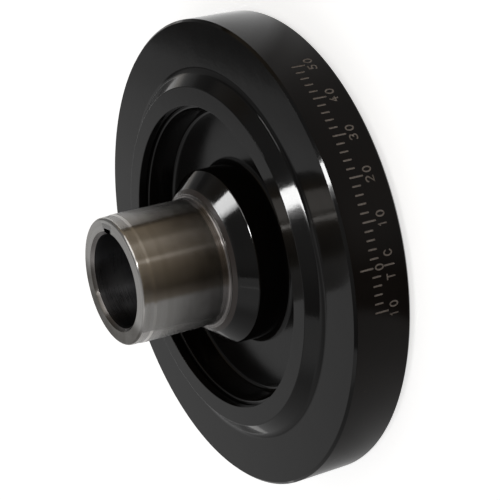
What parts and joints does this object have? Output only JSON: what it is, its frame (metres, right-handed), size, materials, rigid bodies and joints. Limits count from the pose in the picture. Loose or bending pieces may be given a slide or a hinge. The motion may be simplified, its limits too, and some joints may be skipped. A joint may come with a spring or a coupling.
{
  "type": "harmonic balancer",
  "caption": "Crankshaft harmonic balancer: bored hub with a seal sleeve, bonded elastomer ring and heavy outer ring with a timing scale.",
  "frame": {"origin": "on the crank axis, in the hub's pulley face, which is the face it rests on", "axes": "+Z along the crank axis from the pulley face towards the free end of the seal sleeve, +X through the keyway"},
  "size_m": [0.1714, 0.1714, 0.0675],
  "materials": {
    "black_paint": "gloss",
    "bare_steel": "satin",
    "elastomer": "matte"
  },
  "bodies": {
    "root": {"hub": "black_paint", "elastomer_ring": "elastomer", "inertia_ring": "black_paint"}
  },
  "joints": []
}
